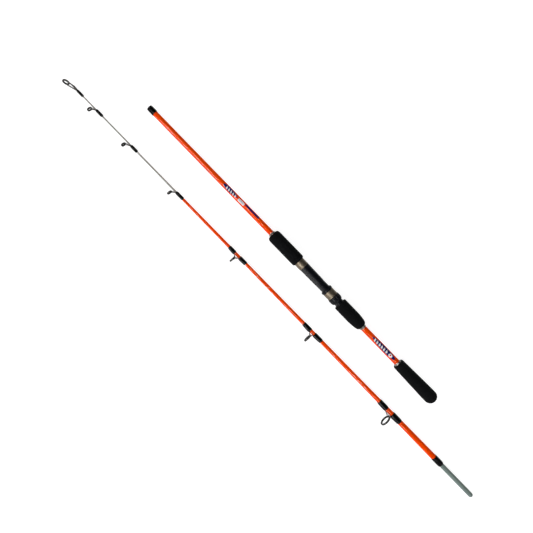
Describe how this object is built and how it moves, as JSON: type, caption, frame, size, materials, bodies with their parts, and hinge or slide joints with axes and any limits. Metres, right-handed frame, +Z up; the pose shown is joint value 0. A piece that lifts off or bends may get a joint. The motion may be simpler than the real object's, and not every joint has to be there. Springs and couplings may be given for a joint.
{
  "type": "ice fishing rod",
  "caption": "Take-apart ice fishing rod: a handle section with a reel seat and a slim tip section with line guides, lying side by side.",
  "frame": {"origin": "on the surface the rod lies on, under the middle of the two sections lying side by side", "axes": "+X along the rod from the butt towards the tip, +Y the way the line guides point, +Z up"},
  "size_m": [1.106, 0.117, 0.0264],
  "materials": {
    "orange_gloss": "gloss lacquer over glass fibre",
    "black_thread": "wound thread under clear resin",
    "eva_foam": "matt closed-cell foam",
    "trim_ring": "satin",
    "graphite_plastic": "semi-gloss moulded",
    "hood_metal": "polished, warm tint",
    "arbor_tape": "paper tape",
    "plug_rubber": "matt",
    "guide_metal": "polished dark steel",
    "ceramic": "polished",
    "white_glass_fibre": "translucent, ground",
    "spigot_grey": "matt ground glass fibre"
  },
  "bodies": {
    "butt_section": {"butt_blank": "orange_gloss", "ferrule_mouth_wrap": "black_thread", "foregrip": "eva_foam", "foregrip_check": "trim_ring", "rear_grip": "eva_foam", "rear_grip_check": "trim_ring", "butt_grip": "eva_foam", "butt_grip_check": "trim_ring", "seat_body": "graphite_plastic", "fixed_hood_shell": "hood_metal", "seat_arbor_rear": "arbor_tape", "seat_arbor_front": "arbor_tape", "butt_plug": "plug_rubber"},
    "moving_hood": {"moving_hood": "graphite_plastic", "moving_hood_shell": "hood_metal"},
    "lock_nut": {"lock_nut": "graphite_plastic"},
    "spigot_root": {"spigot_root": "spigot_grey"},
    "spigot": {"spigot": "spigot_grey"},
    "tip_section": {"tip_blank": "orange_gloss", "solid_tip": "white_glass_fibre", "ferrule_wrap": "black_thread", "guide_1_frame": "guide_metal", "guide_1_ring": "ceramic", "guide_1_wrap_front": "black_thread", "guide_1_wrap_rear": "black_thread", "guide_2_frame": "guide_metal", "guide_2_ring": "ceramic", "guide_2_wrap_front": "black_thread", "guide_2_wrap_rear": "black_thread", "guide_3_frame": "guide_metal", "guide_3_ring": "ceramic", "guide_3_wrap_front": "black_thread", "guide_3_wrap_rear": "black_thread", "guide_4_frame": "guide_metal", "guide_4_ring": "ceramic", "guide_4_wrap": "black_thread", "guide_5_frame": "guide_metal", "guide_5_ring": "ceramic", "guide_5_wrap": "black_thread", "guide_6_frame": "guide_metal", "guide_6_ring": "ceramic", "guide_6_wrap": "black_thread", "tip_top_frame": "guide_metal", "tip_top_ring": "ceramic", "tip_top_wrap": "black_thread"}
  },
  "joints": [
    {"name": "hood_slide", "type": "slide", "parent": "butt_section", "child": "moving_hood", "axis": [1, 0, 0], "range_m": [0, 0.0175]},
    {"name": "lock_nut_turn", "type": "hinge", "parent": "moving_hood", "child": "lock_nut", "pos_m": [-0.10304, -0.04525, 0.0132], "axis": [1, 0, 0], "range_deg": [0, 2520]},
    {"name": "section_lineup", "type": "slide", "parent": "butt_section", "child": "spigot_root", "axis": [0.9977, -0.0668, 0.0063], "range_m": [0, 1.12253]},
    {"name": "ferrule_plug", "type": "slide", "parent": "spigot_root", "child": "spigot", "axis": [-1, 0, 0], "range_m": [0, 0.249]},
    {"name": "ferrule_twist", "type": "hinge", "parent": "spigot", "child": "tip_section", "pos_m": [-0.46804, 0.02975, 0.00615], "axis": [-1, 0, 0], "range_deg": [-147, 0]}
  ],
  "couplings": [
    {"joint": "lock_nut_turn", "follows": "hood_slide", "rad_per_m": 2513.3}
  ]
}
